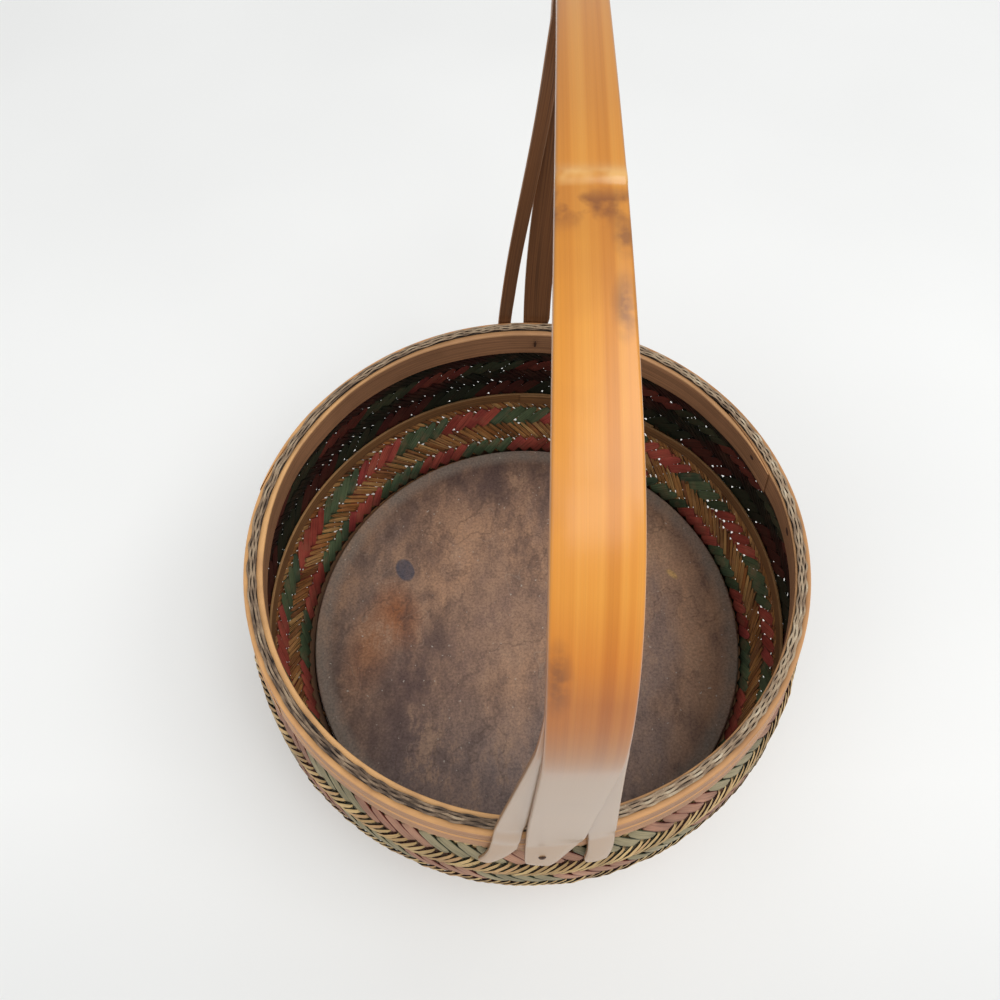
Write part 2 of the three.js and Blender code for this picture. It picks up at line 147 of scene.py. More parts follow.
# Capping: splints in lanes over a core (nearly black: painted shade and dirt in the gaps), sizes as width
# and thickness
CAPPING_STEPS = 1800
CAPPING_BEATS = 64
CAPPING_LANES = 5
CAPPING_PITCH = 0.86
CAPPING_CORE = (4.4, 0.5)
CAPPING_SPLINT = (0.98, 0.55)
CORE_RISE = 0.3
SPLINT_RISE = 1.25
CAPPING_DARK = math.radians(245)
CAPPING_DARK_REACH = 0.5

# Rounding of a hoop's edges, the pale lip above them as depth and step, and rings of points round it
HOOP_EDGE = 0.9
HOOP_LIP = 0.35
HOOP_LIP_STEP = 0.4
HOOP_STEPS = 360
# Most of a thinned piece's thickness that the rounding of its edges takes
THIN_EDGE = 0.45
# Thickness left in the inner rim hoop round the rim, as azimuth in degrees and share
INNER_HOOP_LEFT = ((-180, 1.0), (-150, 0.9), (-110, 0.85), (-75, 0.55), (-50, 0.4), (10, 0.4), (16, 0.6),
                   (40, 0.75), (70, 0.8), (90, 1.0), (105, 1.0), (118, 0.72), (135, 0.6), (148, 0.8),
                   (158, 0.72), (172, 0.9), (180, 1.0))
# Peg ends in the inner rim hoop, as azimuth in degrees and height
INNER_HOOP_PEGS = ((21.9, 145.0), (2.1, 144.0))
PEG_RADIUS = 2.4
PEG_DEPTH = 2.0

# Dark blotches on the handle's skin: place across and along, half sizes and turn in degrees
STRAP_BLOTCHES = (((-8.0, 245.0), (2.6, 8.0), 0), ((6.4, 328.0), (2.2, 6.0), 0),
                  ((7.0, 345.0), (2.2, 4.0), 0))

# Marks on the lacquered board: place (centre, half sizes, turn in degrees), softness, colour, strength and
# how ragged they are
BOARD_STAINS = {
    "dark back": (((0, 128), (110, 36), 0), 0.5, (108, 86, 80), 0.85, 0.5),
    "dull near side": (((-20, -118), (130, 52), 0), 0.45, (152, 133, 127), 0.85, 0.5),
    "dark side": (((-72, -35), (22, 40), 10), 0.6, (104, 80, 76), 0.85, 0.7),
    "worn left": (((-120, 10), (34, 84), -14), 0.5, (132, 114, 104), 0.75, 0.6),
    "rusty side": (((-104, -12), (12, 26), -15), 0.7, (184, 122, 78), 0.9, 0.5),
    "dark corner": (((-66, -85), (40, 18), -31), 0.6, (88, 68, 66), 0.6, 0.5),
    "rust": (((-87, 11), (10, 17), 20), 0.8, (204, 124, 66), 0.9, 0.8),
    "dark spot": (((-68.5, 24), (5, 6.5), 0), 0.5, (100, 78, 72), 0.75, 0.5),
}
BOARD_MARKS = {
    "oval": (((-84, 44), (6.2, 9), 27), 0.1, (90, 88, 100), 0.95, 0.25),
    "chip": (((106, 38.6), (1.9, 4.4), 45), 0.3, (226, 182, 120), 1.0, 0.0),
}

# Shape of the board: rounding of its edge, points round it and rings of points on its top
BOARD_EDGE = 1.4
BOARD_SEGMENTS = 180
BOARD_RINGS = 12

# The joint in the handle: hump, groove and marks, as strength, distance before the joint and half length
JOINT_HUMP = (JOINT_RIDGE, 0.0, JOINT_LENGTH)
JOINT_GROOVE = (0.25, 2.2, 1.0)
JOINT_PALE = (0.8, 0.0, 2.4)
JOINT_SMUDGE = (0.9, 8.0, 4.0)
# Rounding and crown of the handle's skin
SKIN_EDGE = 0.9
SKIN_CROWN = 0.25
# Places of a handle strip's rings from its tips, and the step between the others
TIP_STATIONS = (0.15, 0.5, 1, 1.8, 3, 4.5, 6, 8, 10.5, 13, 16, 19, 22)
STATION_STEP = 3.0

# Studio in metres: each lamp as name, power, size and place
LAMPS = (("key", 44, 2.2, (1.3, -0.5, 2.8)), ("fill", 13, 2.2, (-1.7, -1.0, 2.2)),
         ("strap_glint", 5, 0.8, (0.25, -1.43, 2.13)))
LAMP_AIM = (0, 0, 0.1)
SKY_STRENGTH = 0.55
FLOOR_SIZE = 6.0

# Camera: place in millimetres, angles in degrees
CAMERA_PLACE = (-5.73, -192.57, 536.55)
CAMERA_DOWN = 60.74
CAMERA_YAW = -1.98
CAMERA_ROLL = -2.44
CAMERA_LENS = 28.8
SENSOR_WIDTH = 36.0


def smooth(t):
    t = np.clip(t, 0.0, 1.0)
    return t * t * (3 - 2 * t)


def mix(a, b, t):
    return a + (b - a) * t


def ease(a, b, slope_a, slope_b, t):
    t2 = t * t
    t3 = t2 * t
    return a + (b - a) * (3 * t2 - 2 * t3) + slope_a * (t3 - 2 * t2 + t) + slope_b * (t3 - t2)


# Outline of the body
def rim_face(z):
    return RIM_RADIUS + RIM_FLARE * np.maximum(0.0, HOOP_TOP - z)


def wall_outer(z):
    z = np.asarray(z, float)
    neck = rim_face(BAND_LOW) - OUTER_HOOP_THICKNESS - CLEARANCE
    up = BAND_LOW - BELLY_HEIGHT
    down = BELLY_HEIGHT - MAT_UNDERSIDE
    band = neck - RIM_FLARE * (z - BAND_LOW)
    upper = ease(neck, BELLY_RADIUS, NECK_SLOPE * up, 0, (BAND_LOW - z) / up)
    lower = ease(BELLY_RADIUS, FOOT_RADIUS, 0, -FOOT_SLOPE * down, (BELLY_HEIGHT - z) / down)
    return np.where(z >= BAND_LOW, band, np.where(z >= BELLY_HEIGHT, upper, lower))


def wall_inner(z):
    return wall_outer(z) - WALL_THICKNESS


def wall_middle(z):
    return wall_outer(z) - WALL_THICKNESS / 2 - WEAVE_SET


def wall_slope(z):
    """Change of the wall's radius over one millimetre of height."""
    return wall_middle(z + 0.5) - wall_middle(z - 0.5)


BOARD_RADIUS = float(wall_inner(BOARD_LOW)) - BOARD_PLAY


# Meshes from rings of points
def loft_object(name, rings, along, across, face, tone=None, dye=None, lift=None, stain=None, closed=False):
    """One object from strips given as an array of strips, rings, points and xyz, in millimetres."""
    rings = np.asarray(rings, float)
    if rings.ndim == 3:
        rings = rings[None]
    strips, count, points = rings.shape[:3]
    base = np.arange(strips * count * points).reshape(strips, count, points)
    here = base if closed else base[:, :-1]
    ahead = np.roll(base, -1, axis=1) if closed else base[:, 1:]
    quads = np.stack([here, np.roll(here, -1, axis=2), np.roll(ahead, -1, axis=2), ahead], axis=-1)
    faces = quads.reshape(-1, 4).tolist()
    if not closed:
        faces += base[:, 0, ::-1].tolist() + base[:, -1].tolist()
    mesh = bpy.data.meshes.new(name)
    mesh.from_pydata((rings.reshape(-1, 3) * MM).tolist(), [], faces)
    shape = (strips, count, points)
    values = {"along": along, "across": across, "face": face, "tone": tone, "dye": dye, "lift": lift,
              "stain": stain}
    for key, value in values.items():
        if value is not None:
            layer = mesh.attributes.new(key, "FLOAT", "POINT")
            layer.data.foreach_set("value", np.broadcast_to(value, shape).astype(np.float32).ravel())
    mesh.validate()
    return shaded_object(name, mesh)


def shaded_object(name, mesh):
    if signed_volume(mesh) < 0:
        mesh.flip_normals()
    mesh.polygons.foreach_set("use_smooth", [True] * len(mesh.polygons))
    mesh.set_sharp_from_angle(angle=SHARP)
    return linked(name, mesh)


def linked(name, data):
    made = bpy.data.objects.new(name, data)
    bpy.context.scene.collection.objects.link(made)
    return made


def signed_volume(mesh):
    solid = bmesh.new()
    solid.from_mesh(mesh)
    volume = solid.calc_volume(signed=True)
    solid.free()
    return volume


def dress(piece, material, node):
    piece.data.materials.append(material)
    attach(piece, "root")
    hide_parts(node)


def rounded_section(width, thickness, edge, crown=0.0, steps=3):
    """Points of a flat bar's section as (across, up), and for each 0 on the upper face, 1 on the lower."""
    half_w = width / 2
    half_t = thickness / 2
    corners = [(half_w - edge, half_t - edge, 90), (-half_w + edge, half_t - edge, 180),
               (-half_w + edge, -half_t + edge, 270), (half_w - edge, -half_t + edge, 360)]
    points = []
    faces = []
    for k, (x, y, end) in enumerate(corners):
        for step in range(steps + 1):
            a = math.radians(end - 90 + 90 * step / steps)
            points.append((x + edge * math.cos(a), y + edge * math.sin(a)))
            faces.append(0.5 - 0.5 * math.sin(a))
        if k == 0 and crown:
            for share in (0.6, 0.2, -0.2, -0.6):
                points.append((share * (half_w - edge), half_t + crown * (1 - share * share)))
                faces.append(0.0)
    return np.array(points), np.array(faces)


# Shader nodes
def linear(colour):
    """Linear colour from a grey of 0 to 1 or sRGB values of 0 to 255. A colour of four values stays."""
    if not isinstance(colour, tuple):
        return (colour, colour, colour, 1.0)
    if len(colour) == 4:
        return colour
    shares = [v / 255 for v in colour]
    red, green, blue = [v / 12.92 if v <= 0.04045 else ((v + 0.055) / 1.055) ** 2.4 for v in shares]
    return (red, green, blue, 1.0)


class Shader:
    """A material with short calls for the nodes that the finishes share."""

    def __init__(self, name, roughness=0.5, specular=0.5, coat=0.0, coat_roughness=0.1, metallic=0.0):
        self.material = bpy.data.materials.new(name)
        self.material.use_nodes = True
        self.tree = self.material.node_tree
        self.shader = self.tree.nodes["Principled BSDF"]
        self.fill(self.shader, {"Roughness": roughness, "Specular IOR Level": specular, "Coat Weight": coat,
                                "Coat Roughness": coat_roughness, "Metallic": metallic})

    def node(self, kind, *values, **settings):
        made = self.tree.nodes.new("ShaderNode" + kind)
        for key, value in settings.items():
            setattr(made, key, value)
        for socket, value in zip(made.inputs, values):
            if value is not None:
                self.feed(socket, value)
        return made

    def feed(self, socket, value):
        if isinstance(value, bpy.types.NodeSocket):
            self.tree.links.new(value, socket)
        else:
            socket.default_value = linear(value) if socket.type == "RGBA" else value

    def fill(self, made, values):
        for key, value in values.items():
            self.feed(made.inputs[key], value)
        return made

    def attribute(self, name):
        return self.node("Attribute", attribute_name=name).outputs["Fac"]

    def place(self):
        return self.node("NewGeometry").outputs["Position"]

    def math(self, operation, a, b=0.0, clamp=False):
        return self.node("Math", a, b, operation=operation, use_clamp=clamp).outputs[0]

    def times(self, a, b, clamp=False):
        return self.math("MULTIPLY", a, b, clamp)

    def axis(self, index):
        """One coordinate of the place in the scene, in metres."""
        return self.node("SeparateXYZ", self.place()).outputs[index]

    def sweep(self, index, scale):
        """0 to 1 along an axis of the scene, 0.5 in the middle."""
        return self.math("ADD", self.times(self.axis(index), scale), 0.5, True)

    def distance(self, a, b):
        return self.node("VectorMath", a, b, operation="DISTANCE").outputs["Value"]

    def vector(self, x, y, z):
        return self.node("CombineXYZ", x, y, z).outputs[0]

    def noise(self, vector, scale, detail=2.0, roughness=0.5):
        values = {"Vector": vector, "Scale": scale, "Detail": detail, "Roughness": roughness}
        return self.fill(self.node("TexNoise"), values).outputs["Fac"]

    def ramp(self, value, *stops):
        made = self.node("ValToRGB", value)
        points = made.color_ramp.elements
        while len(points) < len(stops):
            points.new(0.5)
        for point, (at, colour) in zip(points, stops):
            point.position = at
            point.color = linear(colour)
        return made.outputs[0]

    def blend(self, share, a, b, mode="MIX"):
        made = self.node("Mix", data_type="RGBA", blend_type=mode)
        return self.fill(made, {"Factor": share, "A": a, "B": b}).outputs["Result"]

    def fibre(self, across_scale, along_scale, detail=3.0):
        """Noise drawn out along a strip, taken from another place for each tone."""
        along = self.times(self.attribute("along"), along_scale)
        across = self.times(self.attribute("across"), across_scale)
        shift = self.times(self.attribute("tone"), 37.0)
        return self.noise(self.vector(along, across, shift), 1.0, detail, 0.6)

    def tint(self, colour, value, *stops):
        """Colour times a grey ramp of value."""
        return self.blend(1.0, colour, self.ramp(value, *stops), "MULTIPLY")

    def cover(self, colour, tone, value, *stops):
        """Colour covered with another tone as far as a ramp of value says."""
        return self.blend(self.ramp(value, *stops), colour, tone)

    def mark(self, place, mark, soft, level=0.0):
        """1 inside an ellipse at a level, 0 outside it, from the ellipse's centre, half sizes and turn."""
        (x, y), (wide, long), turn = mark
        values = {"Vector": place, "Location": (x * MM, y * MM, level * MM),
                  "Rotation": (0, 0, math.radians(turn)), "Scale": (wide * MM, long * MM, wide * MM)}
        made = self.fill(self.node("Mapping", vector_type="TEXTURE"), values)
        reach = self.node("VectorMath", made.outputs[0], operation="LENGTH").outputs["Value"]
        return self.math("DIVIDE", self.math("SUBTRACT", 1.0 + soft, reach), 2 * soft, True)

    def finish(self, colour, height=None, bump=0.2, distance=0.0003, roughness=None):
        self.fill(self.shader, {"Base Color": colour})
        if roughness is not None:
            self.fill(self.shader, {"Roughness": roughness})
        if height is not None:
            made = self.fill(self.node("Bump"), {"Strength": bump, "Distance": distance, "Height": height})
            self.fill(self.shader, {"Normal": made.outputs["Normal"]})
        return self.material


def splint_material(name):
    """Plaited strips: dyed or natural, strong in colour inside and faded outside."""
    s = Shader(name, roughness=0.6, specular=0.22)
    tone = s.attribute("tone")
    dye = s.attribute("dye")
    stain = s.attribute("stain")
    face = s.ramp(s.attribute("face"), (0.5, 0.0), (0.8, 1.0))
    lines = s.fibre(1.9, 0.03, 2.0)
    fine = s.fibre(5.0, 0.08, 1.0)
    height = s.times(s.axis(2), 1 / (HOOP_TOP * MM))

    def at(z):
        return z / HOOP_TOP

    natural = s.ramp(tone, (0.0, (136, 86, 48)), (0.3, (200, 142, 82)), (0.55, (174, 112, 60)),
                     (0.8, (222, 172, 108)), (1.0, (152, 98, 60)))
    stained = s.blend(stain, (88, 34, 30), (46, 56, 40))
    upper = s.ramp(height, (0.0, 0.12), (at(60), 0.15), (at(72), 1.0))
    natural = s.blend(upper, natural, stained)
    natural = s.tint(natural, lines, (0.38, 0.2), (0.5, 1.0))
    red = s.ramp(tone, (0.0, (146, 60, 50)), (0.5, (182, 88, 72)), (1.0, (158, 66, 62)))
    green = s.ramp(tone, (0.0, (70, 84, 58)), (0.5, (98, 114, 82)), (1.0, (74, 90, 68)))
    is_green = s.math("GREATER_THAN", dye, 1.5)
    is_dyed = s.math("GREATER_THAN", dye, 0.5)
    dyed = s.blend(is_green, red, green)
    dyed = s.tint(dyed, lines, (0.34, 0.6), (0.5, 1.1))
    inside = s.blend(is_dyed, natural, dyed)
    inside = s.cover(inside, (168, 120, 92), s.noise(s.place(), 130.0, 3.0), (0.5, 0.0), (0.8, 0.4))
    # Painted shade: the inside is darker near the floor board, and much darker in the band above the mid
    # hoop. There it is partly painted shade under the rim and partly the strands' own dark colour
    inside = s.tint(inside, height, (at(9), 0.45), (at(20), 1.1), (at(58), 1.1),
                    (at(66), 0.16), (at(80), 0.17), (at(92), 0.4))

    faded_red = s.ramp(tone, (0.0, (178, 126, 102)), (1.0, (204, 154, 124)))
    faded_green = s.ramp(tone, (0.0, (158, 146, 110)), (1.0, (182, 168, 132)))
    faded_natural = s.ramp(tone, (0.0, (196, 158, 104)), (0.5, (232, 198, 138)), (1.0, (206, 162, 112)))
    faded = s.blend(is_green, faded_red, faded_green)
    outside = s.blend(is_dyed, faded_natural, faded)
    outside = s.tint(outside, lines, (0.33, 0.55), (0.5, 1.0))

    colour = s.blend(face, inside, outside)
    colour = s.tint(colour, fine, (0.3, 0.72), (0.6, 1.0))
    colour = s.tint(colour, s.noise(s.place(), 45.0, 3.0), (0.35, 0.68), (0.62, 1.0))
    # Painted shade: darker where a strip dives under another and at the ends of its floats
    colour = s.tint(colour, s.attribute("lift"), (0.0, 0.3), (0.45, 0.86), (1.0, 1.0))
    return s.finish(colour, fine, 0.35, 0.0002)


def hoop_material(name, skin, inner, top, grime=0.75, marks=()):
    """Split bamboo bent into a hoop: skin on the outer face, cut fibres inside, a paler upper edge that is
    partly a painted highlight.
    """
    s = Shader(name, roughness=0.5, specular=0.25)
    place = s.place()
    fibre = s.fibre(1.5, 0.012)
    fine = s.fibre(5.0, 0.05, 1.0)
    colour = s.blend(s.attribute("face"), inner, skin)
    colour = s.tint(colour, fibre, (0.3, 0.48), (0.6, 1.05))
    colour = s.tint(colour, fine, (0.3, 0.78), (0.7, 1.0))
    colour = s.tint(colour, s.noise(place, 22.0, 4.0, 0.6), (0.3, grime), (0.62, 1.0))
    for azimuth, height in marks:
        turn = math.radians(azimuth)
        radius = float(wall_inner(height)) - PEG_DEPTH
        spot = (radius * math.cos(turn) * MM, radius * math.sin(turn) * MM, height * MM)
        peg = s.math("LESS_THAN", s.distance(place, spot), PEG_RADIUS * MM)
        colour = s.blend(peg, colour, (58, 38, 32))
    # Painted highlight on the upper edge, over the cut edge's own paler colour: full towards -X and -Y,
    # where the light falls, weaker at the right and at the back
    edge = s.times(s.attribute("lift"), s.ramp(s.noise(place, 60.0, 3.0), (0.3, 0.55), (0.55, 1.0)))
    edge = s.times(edge, s.ramp(s.sweep(0, 3.0), (0.25, 1.0), (0.85, 0.45)))
    edge = s.times(edge, s.ramp(s.sweep(1, 3.0), (0.72, 1.0), (0.9, 0.35)))
    colour = s.blend(edge, colour, top)
    return s.finish(colour, fine, 0.4, 0.0002)


def handle_material(name):
    """Handle bamboo: glossy streaked skin outside, dull brown pith inside."""
    s = Shader(name, specular=0.3, coat=0.7, coat_roughness=0.24)
    streak = s.fibre(0.34, 0.003, 1.0)
    fine = s.fibre(2.6, 0.012, 1.0)
    patch = s.noise(s.place(), 16.0, 3.0)
    skin = s.ramp(streak, (0.3, (218, 136, 42)), (0.5, (230, 150, 54)), (0.7, (236, 160, 64)))
    skin = s.tint(skin, fine, (0.25, 0.94), (0.6, 1.0))
    skin = s.cover(skin, (168, 98, 44), patch, (0.5, 0.0), (0.8, 0.7))
    along = s.attribute("along")
    share = s.times(along, 1 / HANDLE_LENGTH)

    def at(distance):
        return distance / HANDLE_LENGTH

    # Painted light and shade along the strap: dark on the near leg and the lower shoulder, brightest on the
    # upper shoulder, darker again from the crown on
    skin = s.tint(skin, share, (at(218), (0.6, 0.5, 0.4, 1)), (at(238), (0.62, 0.5, 0.4, 1)),
                  (at(250), (0.82, 0.7, 0.5, 1)), (at(266), (0.93, 0.95, 0.9, 1)),
                  (at(300), (0.95, 0.98, 0.9, 1)), (at(345), (0.86, 0.88, 0.72, 1)),
                  (at(385), (0.74, 0.76, 0.84, 1)))
    # Painted reflection: towards the near foot the skin turns pale beige-grey, standing in for the sheen of
    # grazing light there
    skin = s.cover(skin, (166, 129, 84), share, (at(190), 0.88), (at(230), 0.0))
    flat = s.vector(s.times(s.attribute("across"), MM), s.times(along, MM), 0.0)
    cloud = s.ramp(s.noise(s.place(), 260.0, 3.0), (0.35, 0.2), (0.6, 0.7))
    for blotch in STRAP_BLOTCHES:
        skin = s.blend(s.times(s.mark(flat, blotch, 0.6), cloud), skin, (120, 72, 40))
    inside = s.tint((118, 74, 40), fine, (0.3, 0.45), (0.65, 1.0))
    colour = s.blend(s.attribute("face"), skin, inside)
    joint = s.attribute("lift")
    broken = s.ramp(s.noise(s.place(), 130.0, 2.0), (0.38, 0.3), (0.55, 1.0))
    pale = s.times(s.math("MAXIMUM", joint, 0.0, True), broken)
    colour = s.blend(pale, colour, (228, 180, 110))
    blurred = s.ramp(s.noise(s.place(), 160.0, 3.0), (0.42, 0.0), (0.6, 1.0))
    colour = s.blend(s.times(s.times(joint, -1.0, True), blurred), colour, (122, 68, 30))
    rough = s.ramp(s.attribute("face"), (0.3, 0.34), (0.7, 0.7))
    return s.finish(colour, fine, 0.12, 0.0002, rough)


def board_material(name):
    """Worn brown lacquer: mottled and stained, darker at the near and far sides, greyer round the edge."""
    s = Shader(name, specular=0.4, coat=0.06, coat_roughness=0.4)
    place = s.place()
    drawn = s.node("VectorMath", place, (1.0, 0.5, 1.0), operation="MULTIPLY").outputs[0]
    broad = s.noise(drawn, 17.0, 4.0, 0.62)
    cloud = s.noise(drawn, 46.0, 6.0, 0.72)
    grain = s.noise(place, 600.0, 3.0, 0.7)
    colour = s.ramp(broad, (0.3, (140, 110, 98)), (0.45, (178, 140, 114)), (0.56, (196, 152, 120)),
                    (0.7, (164, 134, 118)))

    def stained(colour, marks):
        for mark, soft, tone, strength, ragged in marks.values():
            share = s.mark(place, mark, soft, BOARD_TOP)
            share = s.times(share, s.ramp(cloud, (0.36, 1.0 - ragged), (0.58, 1.0)))
            colour = s.blend(s.times(share, strength), colour, tone)
        return colour

    colour = stained(colour, BOARD_STAINS)
    colour = s.cover(colour, (100, 78, 72), cloud, (0.47, 0.0), (0.64, 0.65))
    colour = s.cover(colour, (206, 166, 134), cloud, (0.34, 0.5), (0.44, 0.0))
    tide = s.noise(place, 8.0, 5.0, 0.6)
    colour = s.cover(colour, (92, 70, 60), tide, (0.492, 0.0), (0.5, 0.4), (0.508, 0.0))
    scratch = s.noise(place, 34.0, 1.0, 0.4)
    colour = s.cover(colour, (190, 168, 148), scratch, (0.645, 0.0), (0.65, 0.4), (0.655, 0.0))
    colour = stained(colour, BOARD_MARKS)

    middle = (BOARD_SHIFT * MM, 0, BOARD_TOP * MM)
    radius = s.times(s.distance(place, middle), 1 / (BOARD_RADIUS * MM))
    ring = s.times(s.ramp(radius, (0.91, 0.0), (0.96, 0.9)), s.ramp(cloud, (0.35, 0.55), (0.6, 1.0)))
    colour = s.blend(ring, colour, (146, 134, 122))
    colour = s.tint(colour, radius, (0.0, 1.0), (0.8, 1.0), (0.91, 0.82), (0.95, 1.0))
    colour = s.tint(colour, grain, (0.34, 0.62), (0.62, 1.0))
    speck = s.noise(place, 420.0, 1.0)
    colour = s.cover(colour, (200, 190, 176), speck, (0.76, 0.0), (0.79, 0.75))
    rough = s.ramp(cloud, (0.3, 0.42), (0.7, 0.6))
    return s.finish(colour, s.math("ADD", cloud, s.times(grain, 0.4)), 0.25, 0.0006, rough)


def plain_wood(name, light, dark):
    s = Shader(name, roughness=0.6, specular=0.35)
    fine = s.fibre(5.0, 0.04)
    patch = s.noise(s.place(), 40.0, 3.0)
    colour = s.tint(s.ramp(fine, (0.32, dark), (0.66, light)), patch, (0.3, 0.7), (0.65, 1.0))
    return s.finish(colour, fine, 0.4, 0.0002)


def iron_material(name):
    s = Shader(name, roughness=0.55, metallic=0.7)
    rust = s.noise(s.place(), 700.0, 3.0)
    colour = s.ramp(rust, (0.35, (52, 44, 40)), (0.7, (112, 78, 58)))
    return s.finish(colour, rust, 0.4, 0.0002)


# Weave
def weave_levels():
    """Heights at which strands cross, worked out from a strand's constant width on the swelling wall."""
    heights = [FIRST_LEVEL - LEVEL_MARGIN]
    levels = [-LEVEL_MARGIN / LEVEL_RISE]
    while heights[-1] < BODY_HEIGHT + LEVEL_MARGIN:
        z = heights[-1]
        spacing = TURN * float(wall_middle(max(z, MAT_UNDERSIDE))) / STRANDS
        lean = math.acos(STRAND_PITCH / spacing)
        rise = spacing / 2 / math.tan(lean)
        heights.append(z + LEVEL_STEP * rise / math.hypot(1.0, float(wall_slope(z))))
        levels.append(levels[-1] + LEVEL_STEP)
    return np.array(levels), np.array(heights)


LEVELS, HEIGHTS = weave_levels()
LOWEST_LEVEL = float(np.interp(MAT_UNDERSIDE + WEAVE_START, HEIGHTS, LEVELS)) + 0.5
HIGHEST_LEVEL = float(np.interp(WALL_TOP, HEIGHTS, LEVELS)) - 0.5


def level_height(level):
    return np.interp(level, LEVELS, HEIGHTS)


def wall_point(turned, level, out):
    """Point on the wall: turned in strands clockwise, out in millimetres from the middle of the wall."""
    z = level_height(level)
    slope = wall_slope(z) * np.where(z > MAT_UNDERSIDE + 1, 1.0, 0.0)
    flat = 1 / np.sqrt(1 + slope * slope)
    radius = wall_middle(np.maximum(z, MAT_UNDERSIDE)) + out * flat
    angle = -turned * TURN / STRANDS
    return np.stack([radius * np.cos(angle), radius * np.sin(angle), z - out * slope * flat], axis=-1)


def float_samples(start, end):
    """Places along a strip: the crossings and their edges, with steep steps where it dives."""
    places = []
    for k in range(int(math.floor(start)), int(math.ceil(end)) + 1):
        places.append(k)
        if (k + 1) % FLOAT == 0:
            places += [k + 0.5 - DIVE_HALF, k + 0.5, k + 0.5 + DIVE_HALF]
    places = [p for p in places if start < p < end]
    return np.array([start] + places + [end])


def float_parts(place):
    """Number of the float at each place, and how far into that float the place lies."""
    row = np.floor((place + 0.5) / FLOAT)
    return row, (place + 0.5) - row * FLOAT


def float_side(place):
    """+1 where a dyed strip lies inside, -1 outside, with steep changes at the dives."""
    row, within = float_parts(place)
    side = np.where(row % 2 == 0, 1.0, -1.0)
    fall = np.clip((within - (FLOAT - DIVE_HALF)) / (2 * DIVE_HALF), 0, 0.5)
    rise = np.clip((DIVE_HALF - within) / (2 * DIVE_HALF), 0, 0.5)
    return side * (1 - 2 * fall - 2 * rise)


def float_bulge(place):
    """0 at the ends of a float, 1 in its middle."""
    _, within = float_parts(place)
    return np.sin(np.clip(within / FLOAT, 0, 1) * math.pi) ** 0.8


def woven_strips(name, family, tones, seed):
    """All strips of one family as one object. family says which way the strips lean and how they lie."""
    random = np.random.default_rng(seed)
    fill_low, fill_high = family["fill"]
    place = float_samples(LOWEST_LEVEL, HIGHEST_LEVEL)
    height = level_height(place)
    section, face = rounded_section(1.0, family["thickness"], STRIP_EDGE, steps=1)
    half = family["width"] / STRAND_PITCH
    side = float_side(place) * family["sign"]
    bulge = float_bulge(place)
    free = smooth((BAND_LOW - 2 - height) / FREE_RAMP) * smooth((height - FOOT_HOOP_HEIGHT) / FREE_RAMP)
    layer = (DYED_THICKNESS + NATURAL_THICKNESS) / 4 + LAYER_GAP
    dives = np.floor((place + 0.5) / FLOAT + 0.5).astype(int)
    dives -= dives.min()
    rings = []
    stains = []
    for centre in family["centres"]:
        nips = np.where(random.uniform(0, 1, dives.max() + 1) < NIP_CHANCE, DIVE_NIP, 0.0)[dives]
        nips = np.maximum(nips, np.where(side < 0, family["taper_out"], 0.0) * free)
        nipped = 1 - nips * (1 - bulge) ** 2
        width = half * random.uniform(fill_low, fill_high) * nipped
        shift = random.uniform(-STRIP_STRAY, STRIP_STRAY)
        sway = shift + STRIP_STRAY * np.sin(place * random.uniform(0.25, 0.9) + random.uniform(0, TURN))
        arch = np.where(side < 0, family["bulge_out"], family["bulge_in"]) * random.uniform(0.7, 1.25) * free
        out = -side * layer + np.where(side < 0, 1.0, -1.0) * arch * bulge
        lateral = section[:, 0][None, :] * width[:, None] + sway[:, None]
        cross = place[:, None]
        if family["sign"] > 0:
            turned = (2 * centre + lateral + cross) / 2
            level = cross - lateral
            crossed = np.zeros(len(place))
        else:
            turned = (2 * centre + lateral - cross) / 2
            level = lateral + cross
            crossed = dyed_group(np.round(centre - place))
        rings.append(wall_point(turned, level, out[:, None] + section[:, 1][None, :]))
        stains.append(crossed)
    rings = np.array(rings)
    strips = len(rings)
    along = height[None, :, None] * STRIP_PER_RISE + random.uniform(0, 900, strips)[:, None, None]
    across = (section[:, 0] * family["width"])[None, None, :]
    tone = random.uniform(0, 1, strips)[:, None, None]
    # Painted shade: lift is low where a strip dives under another and at the ends of its floats, and the
    # splint material darkens it there
    lift = (np.abs(side) * (0.45 + 0.55 * bulge))[None, :, None]
    return loft_object(name, rings, along, across, 1 - face[None, None, :], tone, tones[:, None, None], lift,
                       np.array(stains)[:, :, None])


def dyed_group(index):
    """0 where a dyed strand is red, 1 where it is green."""
    return ((np.asarray(index) % STRANDS + DYED_PHASE) // DYED_GROUP) % 2


def weave(material):
    index = np.arange(STRANDS)
    dyed = {"thickness": DYED_THICKNESS, "width": DYED_WIDTH, "sign": 1, "centres": index.astype(float),
            "bulge_in": 0.35, "bulge_out": 0.5, "fill": (0.99, 1.05), "taper_out": 0.0}
    made = woven_strips("plaited_dyed_strands", dyed, 1.0 + dyed_group(index), 11)
    dress(made, material, "woven_body")
    pair = (NATURAL_WIDTH + PAIR_GAP) / 2 / STRAND_PITCH
    centres = np.stack([index - pair, index + pair], axis=1).ravel()
    natural = {"thickness": NATURAL_THICKNESS, "width": NATURAL_WIDTH, "sign": -1, "centres": centres,
               "bulge_in": 0.4, "bulge_out": 1.4, "fill": (0.88, 1.02), "taper_out": OUTSIDE_TAPER}
    made = woven_strips("plaited_natural_strands", natural, np.zeros(2 * STRANDS), 12)
    dress(made, material, "woven_body")


